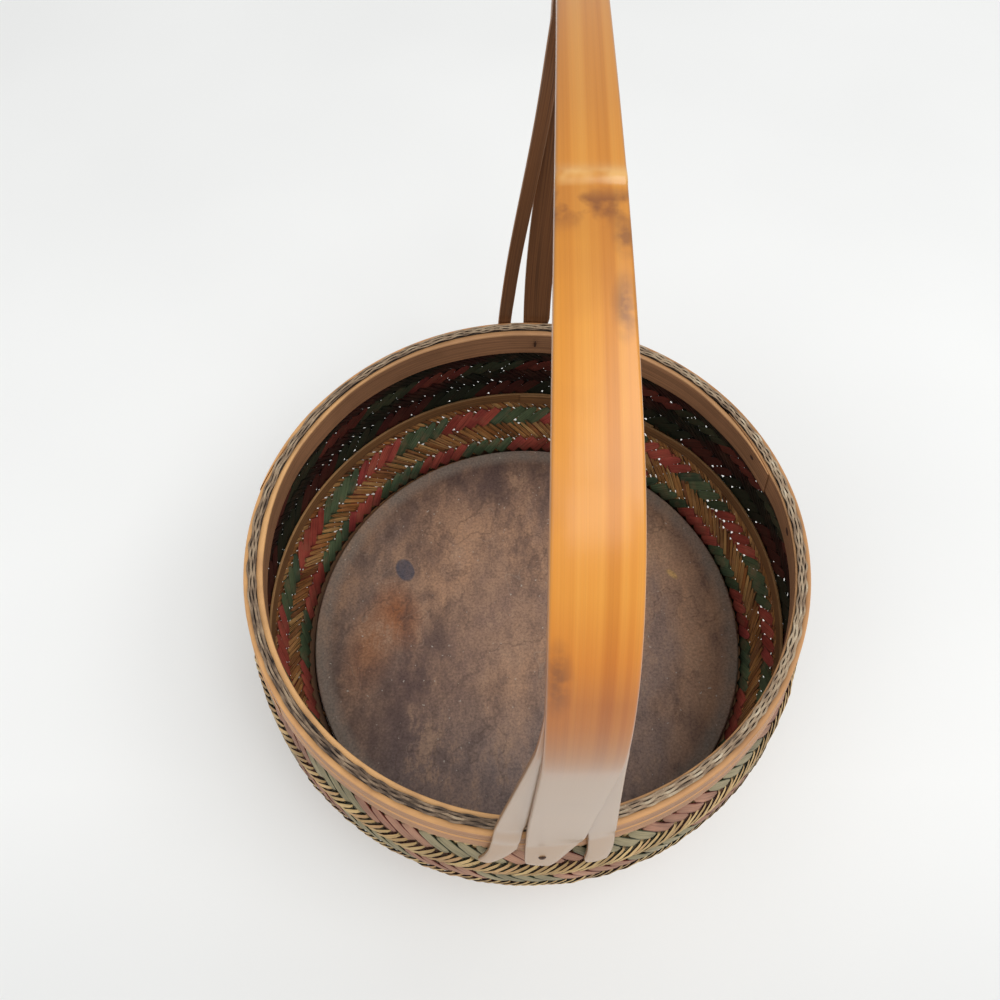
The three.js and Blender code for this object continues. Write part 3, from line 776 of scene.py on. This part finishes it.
def base_mat(material):
    """Flat plaited bottom: two families of straight strips, over three and under three."""
    random = np.random.default_rng(13)
    reach = FOOT_RADIUS - WALL_THICKNESS - BASE_INSET
    section, face = rounded_section(DYED_WIDTH, DYED_THICKNESS, STRIP_EDGE, steps=1)
    middle = MAT_UNDERSIDE + MAT_THICKNESS / 2
    for family, sign in (("a", 1), ("b", -1)):
        turn = sign * math.radians(45)
        across = Vector((math.cos(turn), math.sin(turn), 0))
        forward = Vector((-math.sin(turn), math.cos(turn), 0))
        count = int(reach // STRAND_PITCH)
        pieces = []
        for k in range(-count, count + 1):
            edge = abs(k) * STRAND_PITCH + DYED_WIDTH / 2
            half = math.sqrt(max(0.0, reach * reach - edge ** 2))
            if half < STRAND_PITCH:
                continue
            cells = int(half // STRAND_PITCH)
            spots = []
            for c in range(-cells, cells):
                spots += [c, c + BASE_DIVE[0], c + BASE_DIVE[1]]
            spots = np.array(spots + [cells], float)
            phase = np.mod(spots + sign * k + 0.5, 2 * FLOAT)
            side = np.where(phase < FLOAT, 1.0, -1.0) * sign
            rings = np.array([[across * (k * STRAND_PITCH + w) + forward * (s * STRAND_PITCH)
                               + Vector((0, 0, middle + up * BASE_WAVE + n)) for w, n in section]
                              for s, up in zip(spots, side)])
            pieces.append((rings, spots))
        joined = merge_strips(f"plaited_base_{family}", pieces, section[:, 0], face, random)
        dress(joined, material, "woven_body")


def merge_strips(name, pieces, across, face, random):
    """One object from strips of different lengths."""
    made = []
    for k, (rings, spots) in enumerate(pieces):
        tone = random.uniform()
        along = (spots * STRAND_PITCH + 500 * tone)[:, None]
        # A lift of 0.8 gives the bottom strips a little of the splint material's painted shade
        made.append(loft_object(f"{name}_{k}", rings, along, across, face, tone, 0.0, 0.8, 0.0))
    with bpy.context.temp_override(active_object=made[0], selected_editable_objects=made):
        bpy.ops.object.join()
    made[0].name = name
    made[0].data.name = name
    return made[0]


# Hoops
def lapped_hoop(name, face, outward, low, high, thickness, lap, tone, way=1, left=((0, 1.0), (360, 1.0))):
    """Bent strip whose two ends are thinned and lap over each other.

    lap is its azimuth, its length and the share of thickness left at the tips, left the share left round it.
    """
    at, length, tip = lap
    length = math.radians(length)
    ramp = math.radians(LAP_RAMP)
    step = TURN / HOOP_STEPS
    count = HOOP_STEPS + int(round(length / step))
    azimuths, shares = np.array(left).T
    edge = min(HOOP_EDGE, thickness * 0.35)
    rings = []
    for i in range(count + 1):
        turned = i * step
        over = (turned - TURN) / length
        angle = math.radians(at) + way * turned
        full = thickness * float(np.interp(math.degrees(angle), azimuths, shares, period=360))
        if over >= 0:
            lift = full * thinning(over, tip) + CLEARANCE
            depth = full * thinning(1 - over, tip)
        else:
            lift = float(smooth((turned - TURN + ramp) / ramp)) * (full * tip + CLEARANCE)
            depth = full * thinning(turned / length, tip)
        ring = []
        for w, n in hoop_section(high - low, depth, min(edge, depth * THIN_EDGE)):
            z = (low + high) / 2 + w
            radius = float(face(z)) + outward * (lift + depth / 2 + n)
            ring.append((radius * math.cos(angle), radius * math.sin(angle), z))
        rings.append(ring)
    section = hoop_section(high - low, thickness, edge)
    along = (np.arange(count + 1) * step * RIM_RADIUS)[:, None]
    side = 0.5 + 0.5 * outward * np.clip(section[:, 1] * 2 / (thickness - 2 * edge), -1, 1)
    # Mask of the upper edge, where the hoop material puts its paler top and painted highlight
    upper = smooth((section[:, 0] - (high - low) / 2 + edge + 0.6) / 0.5)
    return loft_object(name, np.array(rings), along, section[:, 0], side, tone, lift=upper)


def thinning(t, tip):
    """Share of a hoop's thickness left on its lap, tip at 0 and 1 from 1 on."""
    return mix(tip, 1, min(1.0, max(0.0, t)))


def hoop_section(width, thickness, edge):
    """Rounded section of a hoop as (up, out), with points near its upper edge to hold the edge's colour."""
    section, _ = rounded_section(width, thickness, edge)
    top = width / 2 - edge - HOOP_LIP
    low = top - HOOP_LIP_STEP
    out = thickness / 2
    outside = np.array([(top, out), (low, out)])
    inside = np.array([(low, -out), (top, -out)])
    return np.concatenate([section[:4], outside, section[4:12], inside, section[12:]])


def hoops():
    tan = hoop_material("outer_hoop_bamboo", (204, 148, 102), (150, 104, 70), (216, 164, 108))
    inner = hoop_material("inner_hoop_bamboo", (190, 140, 100), (188, 138, 100), (222, 172, 116),
                          marks=INNER_HOOP_PEGS)
    mid = hoop_material("mid_hoop_bamboo", (146, 108, 66), (138, 98, 60), (172, 130, 84))
    foot = hoop_material("foot_hoop_bamboo", (190, 138, 90), (80, 58, 44), (110, 80, 58), 0.6)

    def outer(z):
        return wall_outer(z) + CLEARANCE

    def inner_face(z):
        return wall_inner(z) - CLEARANCE

    def hoop(name, node, finish, *shape, **more):
        dress(lapped_hoop(name, *shape, **more), finish, node)

    hoop("rim_hoop_inside", "inner_rim_hoop", inner, lambda z: inner_face(max(z, BAND_LOW)), -1,
         HOOP_TOP - INNER_HOOP_HEIGHT, HOOP_TOP, INNER_HOOP_THICKNESS, (33, 18, 0.2), 0.2, way=-1,
         left=INNER_HOOP_LEFT)
    hoop("rim_hoop_upper", "outer_rim_hoop_upper", tan, outer, 1, HOOP_TOP - UPPER_HOOP_HEIGHT, HOOP_TOP,
         OUTER_HOOP_THICKNESS, (150, 18, 0.04), 0.3)
    hoop("rim_hoop_lower", "outer_rim_hoop_lower", tan, outer, 1, BAND_LOW, BAND_LOW + LOWER_HOOP_HEIGHT,
         OUTER_HOOP_THICKNESS, (198, 18, 0.04), 0.4)
    hoop("belly_hoop", "mid_hoop", mid, inner_face, -1, MID_HOOP_TOP - MID_HOOP_HEIGHT, MID_HOOP_TOP,
         MID_HOOP_THICKNESS, (54, 36, 0.85), 0.5)
    hoop("base_hoop", "foot_hoop", foot, lambda z: outer(max(z, MAT_UNDERSIDE)), 1, 0, FOOT_HOOP_HEIGHT,
         FOOT_HOOP_THICKNESS, (24, 18, 0.2), 0.6)
    hoop("base_lining", "foot_lining", foot, lambda z: wall_outer(MAT_UNDERSIDE), -1, 0,
         MAT_UNDERSIDE - CLEARANCE, FOOT_LINING_THICKNESS, (228, 18, 0.2), 0.7)


def capping_material(name):
    """Old grey-brown splints, pale on their worn tops; the nearly black lowest tone is painted shade and
    dirt in the gaps.
    """
    s = Shader(name, roughness=0.7, specular=0.3)
    fine = s.fibre(3.0, 0.06)
    broken = s.noise(s.place(), 120.0, 3.0)
    tone = s.math("ADD", s.attribute("tone"), s.times(s.math("SUBTRACT", broken, 0.5), 0.9))
    colour = s.ramp(tone, (0.0, (44, 36, 32)), (0.3, (118, 98, 80)), (0.55, (166, 142, 116)),
                    (0.8, (190, 170, 142)), (1.0, (222, 208, 182)))
    colour = s.tint(colour, fine, (0.3, 0.55), (0.6, 1.0))
    return s.finish(colour, fine, 0.4, 0.0002)


def rim_capping(material):
    """Capping: splints plaited along the rim over a dark core, parting in lens-shaped gaps where the core
    shows as painted shade and dirt.
    """
    random = np.random.default_rng(21)
    turned = np.linspace(0, TURN, CAPPING_STEPS, endpoint=False)

    def waves(*counts):
        """Mean of waves round the rim with these counts and random starts."""
        return sum(np.sin(n * turned + random.uniform(0, TURN)) for n in counts) / len(counts)

    rate = CAPPING_BEATS * (1 + 0.25 * np.cos(turned) + 0.5 * waves(5, 13, 29))
    phase = np.cumsum(rate) / CAPPING_STEPS * TURN
    phase *= round(phase[-1] / TURN) * TURN / phase[-1]
    centre = float(wall_outer(HOOP_TOP)) - WALL_THICKNESS / 2
    section, face = rounded_section(1.0, 1.0, 0.28, steps=1)
    rings = []
    tones = []

    def spread(value):
        return np.broadcast_to(value, turned.shape)[:, None]

    def splint(across, up, width, thickness, tone):
        radius = centre + spread(across) + section[None, :, 0] * spread(width)
        height = HOOP_TOP + CLEARANCE + spread(up) + section[None, :, 1] * thickness
        angle = np.broadcast_to(turned[:, None], radius.shape)
        rings.append(np.stack([radius * np.cos(angle), radius * np.sin(angle), height], -1))
        tones.append(spread(tone)[:, 0])

    # The core's nearly black tone is painted shade and dirt seen between the splints
    shade_and_dirt_tone = 0.05
    splint(0.0, CORE_RISE, *CAPPING_CORE, shade_and_dirt_tone)
    width, thickness = CAPPING_SPLINT
    for lane in range(CAPPING_LANES):
        swing = phase + lane * math.pi + 1.3 * waves(3, 7, 17)
        beat = 0.3 + 0.22 * waves(4, 11, 23)
        middle = (lane - (CAPPING_LANES - 1) / 2) * CAPPING_PITCH
        across = middle + beat * np.sin(swing) + 0.12 * waves(19, 31)
        up = SPLINT_RISE + 0.26 * np.sin(swing) + 0.1 * waves(6, 15)
        tone = random.uniform(0.45, 0.65) + 0.1 * np.sin(swing) + 0.16 * waves(8, 21)
        tone += 0.1 * np.cos(turned) - 0.22 * np.exp(-((turned - CAPPING_DARK) / CAPPING_DARK_REACH) ** 2)
        splint(across, up, width + 0.14 * waves(9, 27), thickness, tone)
    along = (turned * RIM_RADIUS)[None, :, None]
    made = loft_object("rim_capping", np.array(rings), along, section[:, 0], 1 - face,
                       np.array(tones)[:, :, None], closed=True)
    dress(made, material, "rim_plait")


# Base
def board(material):
    inner = BOARD_RADIUS - BOARD_EDGE
    outline = [(inner, BOARD_LOW)]
    for level, start in ((BOARD_LOW + BOARD_EDGE, -90), (BOARD_TOP - BOARD_EDGE, 0)):
        for step in range(1, 5):
            a = math.radians(start + 22.5 * step)
            outline.append((inner + BOARD_EDGE * math.cos(a), level + BOARD_EDGE * math.sin(a)))
    outline += [(BOARD_RADIUS * k / BOARD_RINGS, BOARD_TOP) for k in range(BOARD_RINGS - 1, 0, -1)]
    angles = np.linspace(0, TURN, BOARD_SEGMENTS, endpoint=False)
    spots = [(BOARD_SHIFT + r * math.cos(a), r * math.sin(a), z) for r, z in outline for a in angles]
    index = np.arange(len(spots)).reshape(len(outline), BOARD_SEGMENTS)
    ahead = np.roll(index, -1, axis=1)
    faces = np.stack([index[:-1], ahead[:-1], ahead[1:], index[1:]], axis=-1).reshape(-1, 4).tolist()
    faces += [index[0, ::-1].tolist(), index[-1].tolist()]
    mesh = bpy.data.meshes.new("lacquered_board")
    mesh.from_pydata([tuple(c * MM for c in spot) for spot in spots], [], faces)
    dress(shaded_object("lacquered_board", mesh), material, "base_board")


def slats(material):
    for name in ("base_slat_near", "base_slat_far"):
        low, high = np.array(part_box(name)) / MM
        _, width, thickness = high - low
        _, y, z = (low + high) / 2
        section, face = rounded_section(width, thickness, 0.9)
        spots = np.linspace(low[0], high[0], 60)
        rings = np.array([[(x, y + w, z + n) for w, n in section] for x in spots])
        made = loft_object(name.replace("base_slat", "bottom_slat"), rings, spots[:, None], section[:, 0],
                           face, 0.3 if "near" in name else 0.7)
        dress(made, material, name)


# Handle
REACH = RIM_RADIUS + CLEARANCE + STRAP_THICKNESS / 2
LEG_TOP = BODY_HEIGHT + LEG_RISE
FOOT = BODY_HEIGHT - FOOT_DROP
CROWN_RADIUS = SHOULDER_RADIUS + (REACH - SHOULDER_RADIUS) / math.cos(SHOULDER_TURN)
CROWN_CENTRE = LEG_TOP - (CROWN_RADIUS - SHOULDER_RADIUS) * math.sin(SHOULDER_TURN)
LEG = LEG_TOP - FOOT
SHOULDER = SHOULDER_RADIUS * SHOULDER_TURN
CROWN = CROWN_RADIUS * (math.pi - 2 * SHOULDER_TURN)
HANDLE_LENGTH = 2 * LEG + 2 * SHOULDER + CROWN


def handle_line(distance):
    """Point and direction of the handle's middle line in the plane of Y and Z."""
    d = min(max(distance, 0.0), HANDLE_LENGTH)
    mirrored = d > HANDLE_LENGTH / 2
    if mirrored:
        d = HANDLE_LENGTH - d
    if d < LEG:
        y, z, ty, tz = -REACH, FOOT + d, 0.0, 1.0
    elif d < LEG + SHOULDER:
        a = math.pi - (d - LEG) / SHOULDER_RADIUS
        y = -REACH + SHOULDER_RADIUS + SHOULDER_RADIUS * math.cos(a)
        z = LEG_TOP + SHOULDER_RADIUS * math.sin(a)
        ty, tz = math.sin(a), -math.cos(a)
    else:
        a = math.pi - SHOULDER_TURN - (d - LEG - SHOULDER) / CROWN_RADIUS
        y = CROWN_RADIUS * math.cos(a)
        z = CROWN_CENTRE + CROWN_RADIUS * math.sin(a)
        ty, tz = math.sin(a), -math.cos(a)
    return (-y, z, ty, -tz) if mirrored else (y, z, ty, tz)


def handle_drift(along):
    """How far the handle sways to +X, with its lean greatest past the crown."""
    along = max(0.0, along)
    near_power = 12
    far_power = 4.5
    peak = near_power / (near_power + far_power)

    def swell(t):
        return t ** near_power * (1 - t) ** far_power

    return HANDLE_BOW * math.sin(math.pi * along) ** 2 + HANDLE_LEAN * swell(along) / swell(peak)


def strap_width(along):
    along = max(0.0, along)
    shoulder = 0.3
    crown = 0.55
    if along < shoulder:
        return mix(STRAP_NEAR_FOOT, STRAP_NEAR_SHOULDER, float(smooth(along / shoulder)))
    if along < crown:
        return mix(STRAP_NEAR_SHOULDER, STRAP_CROWN, float(smooth((along - shoulder) / (crown - shoulder))))
    return mix(STRAP_CROWN, STRAP_FAR_FOOT, float(smooth((along - crown) / (1 - crown))))


def strip_width(along):
    return (strap_width(along) - CLEARANCE) / 2


def tine_spread(z, width, end):
    """How far a narrow strip's middle lies from the handle's, more towards the rim."""
    together = (width + CLEARANCE) / 2
    foot = STRAP_NEAR_FOOT if end == "near" else STRAP_FAR_FOOT
    apart = foot / 2 + TINE_GAP[end] + width / 2
    share = max(0.0, (BODY_HEIGHT + SPLAY_RISE - z) / SPLAY_RISE)
    return together + (apart - together) * share


def strip_frame(along, side, thickness, layer, width, tip_drift):
    """Point in the middle of a handle strip, and the direction out of its skin."""
    flat_y, flat_z, ty, tz = handle_line(along * HANDLE_LENGTH)
    flat_z += min(0.0, along) * HANDLE_LENGTH
    y, z = flat_y - tz * layer, flat_z + ty * layer
    end = "near" if along < 0.5 else "far"
    drift = tip_drift * max(0.0, (BODY_HEIGHT - z) / FOOT_DROP) ** 3 if end == "near" else 0.0
    x = HANDLE_OFFSET + handle_drift(along) + side * tine_spread(z, width, end) + drift
    on_rim = 1 - float(smooth((z - BODY_HEIGHT) / FOOT_BLEND))
    radius = max(float(rim_face(z)), float(wall_outer(z))) + CLEARANCE + thickness / 2
    rim_y = math.copysign(math.sqrt(radius * radius - x * x), y)
    point = np.array([x, mix(y, rim_y, on_rim), z])
    radial = np.array([x, rim_y, 0.0])
    radial /= np.linalg.norm(radial)
    outward = np.array([0.0, -tz, ty]) * (1 - on_rim) + radial * on_rim
    return point, outward / np.linalg.norm(outward)


def trimmed(from_end, width, tip):
    """Half widths left and right at a distance from a strip's end, which is rounded or cut slantwise."""
    rest = max(0.0, 1 - from_end / tip["round"]) if tip["round"] > 0 else 0.0
    rounded = math.sqrt(1 - rest * rest) * width / 2
    share = mix(tip["keep"], 1, min(1.0, from_end / tip["cut"]))
    return (rounded, rounded * share) if tip["side"] > 0 else (rounded * share, rounded)


def handle_stations(longer):
    """Places of the rings along a handle strip, closer at its ends and at the joint."""
    even = np.arange(25, HANDLE_LENGTH - 24, STATION_STEP).tolist()
    ridge = [JOINT_FROM_NEAR_TIP + JOINT_LENGTH * k / 4 for k in range(-10, 11)]
    clear = [d for d in even if abs(d - JOINT_FROM_NEAR_TIP) > 2.6 * JOINT_LENGTH]
    near = [d - longer for d in TIP_STATIONS]
    far = [HANDLE_LENGTH - d for d in TIP_STATIONS]
    return sorted(near + clear + ridge + far)


def hump(gap, shape):
    height, before, half = shape
    return height * math.exp(-((gap + before) / half) ** 2)


def handle_strip(name, side, thickness, layer, width_at, tip, ridge, tone):
    rings = []
    joints = []
    across_all = []
    stations = handle_stations(tip["longer"])
    _, face = rounded_section(2.0, 1.0, 0.2, crown=0.06)
    nudge = 1e-3
    for distance in stations:
        along = distance / HANDLE_LENGTH
        width = width_at(along)
        lie = (side, thickness, layer, width, tip["drift"])
        point, outward = strip_frame(along, *lie)
        before, _ = strip_frame(along - nudge, *lie)
        after, _ = strip_frame(min(1.0, along + nudge), *lie)
        tangent = (after - before) / np.linalg.norm(after - before)
        normal = outward - tangent * outward.dot(tangent)
        normal /= np.linalg.norm(normal)
        across = np.cross(tangent, normal)
        left, right = trimmed(min(distance + tip["longer"], HANDLE_LENGTH - distance), width, tip)
        middle, reach = (right - left) / 2, (left + right) / 2
        soft = min(SKIN_EDGE, reach * THIN_EDGE, thickness * THIN_EDGE)
        section, _ = rounded_section(2 * reach, thickness, soft, SKIN_CROWN)
        gap = distance - JOINT_FROM_NEAR_TIP
        raised = hump(gap, JOINT_HUMP) - hump(gap, JOINT_GROOVE) if ridge else 0.0
        ring = []
        for w, n in section:
            out = n + (raised if n > 0 else 0.0)
            ring.append(point + across * (middle + w) + normal * out)
        rings.append(ring)
        joints.append(hump(gap, JOINT_PALE) - hump(gap, JOINT_SMUDGE) if ridge else 0.0)
        across_all.append(section[:, 0] + middle)
    return loft_object(name, np.array(rings), np.array(stations)[:, None], np.array(across_all),
                       face, tone, lift=np.array(joints)[:, None])


def handle():
    skin = handle_material("handle_skin")
    made = handle_strip("broad_strap", 0, STRAP_THICKNESS, 0.0, strap_width, STRAP_TIP, True, 0.5)
    dress(made, skin, "handle_strap")
    under = -(STRAP_THICKNESS + STRIP_THICKNESS) / 2 - CLEARANCE
    for name, side, tip, node in (("narrow_strap_left", -1, LEFT_TIP, "handle_strip_left"),
                                  ("narrow_strap_right", 1, RIGHT_TIP, "handle_strip_right")):
        made = handle_strip(name, side, STRIP_THICKNESS, under, strip_width, tip, False, 0.5 + 0.3 * side)
        dress(made, skin, node)


# Studio
def studio():
    scene = bpy.context.scene
    scene.view_settings.view_transform = "Standard"
    floor_plane(FLOOR_SIZE)
    world = bpy.data.worlds.new("studio")
    world.use_nodes = True
    sky = world.node_tree.nodes["Background"].inputs
    sky["Color"].default_value = (1, 1, 1, 1)
    sky["Strength"].default_value = SKY_STRENGTH
    scene.world = world
    for name, power, size, place in LAMPS:
        light = bpy.data.lights.new(name, "AREA")
        light.energy = power
        light.size = size
        holder = linked(name, light)
        holder.location = place
        holder.rotation_euler = (Vector(LAMP_AIM) - Vector(place)).to_track_quat("-Z", "Y").to_euler()


def floor_plane(size):
    half = size / 2
    mesh = bpy.data.meshes.new("floor")
    corners = [(-half, -half, 0), (half, -half, 0), (half, half, 0), (-half, half, 0)]
    mesh.from_pydata(corners, [], [(0, 1, 2, 3)])
    plane = linked("floor", mesh)
    s = Shader("floor_paper", roughness=0.8, specular=0.2)
    grain = s.noise(s.place(), 3.0, 2.0)
    paper = s.ramp(grain, (0.3, (242, 243, 242)), (0.7, (247, 248, 247)))
    # Painted shade: the floor is darker in front of the basket, towards -Y
    depth = s.math("ADD", s.axis(1), 0.5, True)
    plane.data.materials.append(s.finish(s.tint(paper, depth, (0.18, 0.8), (0.4, 1.0))))
    return plane


def camera():
    """Phone camera above the near foot of the handle, looking down into the basket."""
    down = math.radians(CAMERA_DOWN)
    yaw = math.radians(CAMERA_YAW)
    roll = math.radians(CAMERA_ROLL)
    data = bpy.data.cameras.new("camera")
    data.sensor_width = SENSOR_WIDTH
    data.lens = CAMERA_LENS
    data.clip_start = 0.01
    holder = linked("camera", data)
    forward = Vector((math.sin(yaw) * math.cos(down), math.cos(yaw) * math.cos(down), -math.sin(down)))
    right = forward.cross(Vector((0, 0, 1))).normalized()
    up = right.cross(forward)
    rolled_right = math.cos(roll) * right + math.sin(roll) * up
    rolled_up = math.cos(roll) * up - math.sin(roll) * right
    turn = Matrix((rolled_right, rolled_up, -forward)).transposed().to_4x4()
    holder.matrix_world = Matrix.Translation(Vector(CAMERA_PLACE) * MM) @ turn
    bpy.context.scene.camera = holder


camera()
studio()
splint = splint_material("plaited_splint")
weave(splint)
base_mat(splint)
hoops()
rim_capping(capping_material("capping_splint"))
board(board_material("worn_lacquer"))
slats(plain_wood("slat_bamboo", (176, 134, 92), (112, 80, 54)))
handle()
iron = iron_material("nail_iron")
for nail in ("nail_near", "nail_far"):
    cad_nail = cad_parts[nail]
    cad_nail.data.materials.clear()
    cad_nail.data.materials.append(iron)
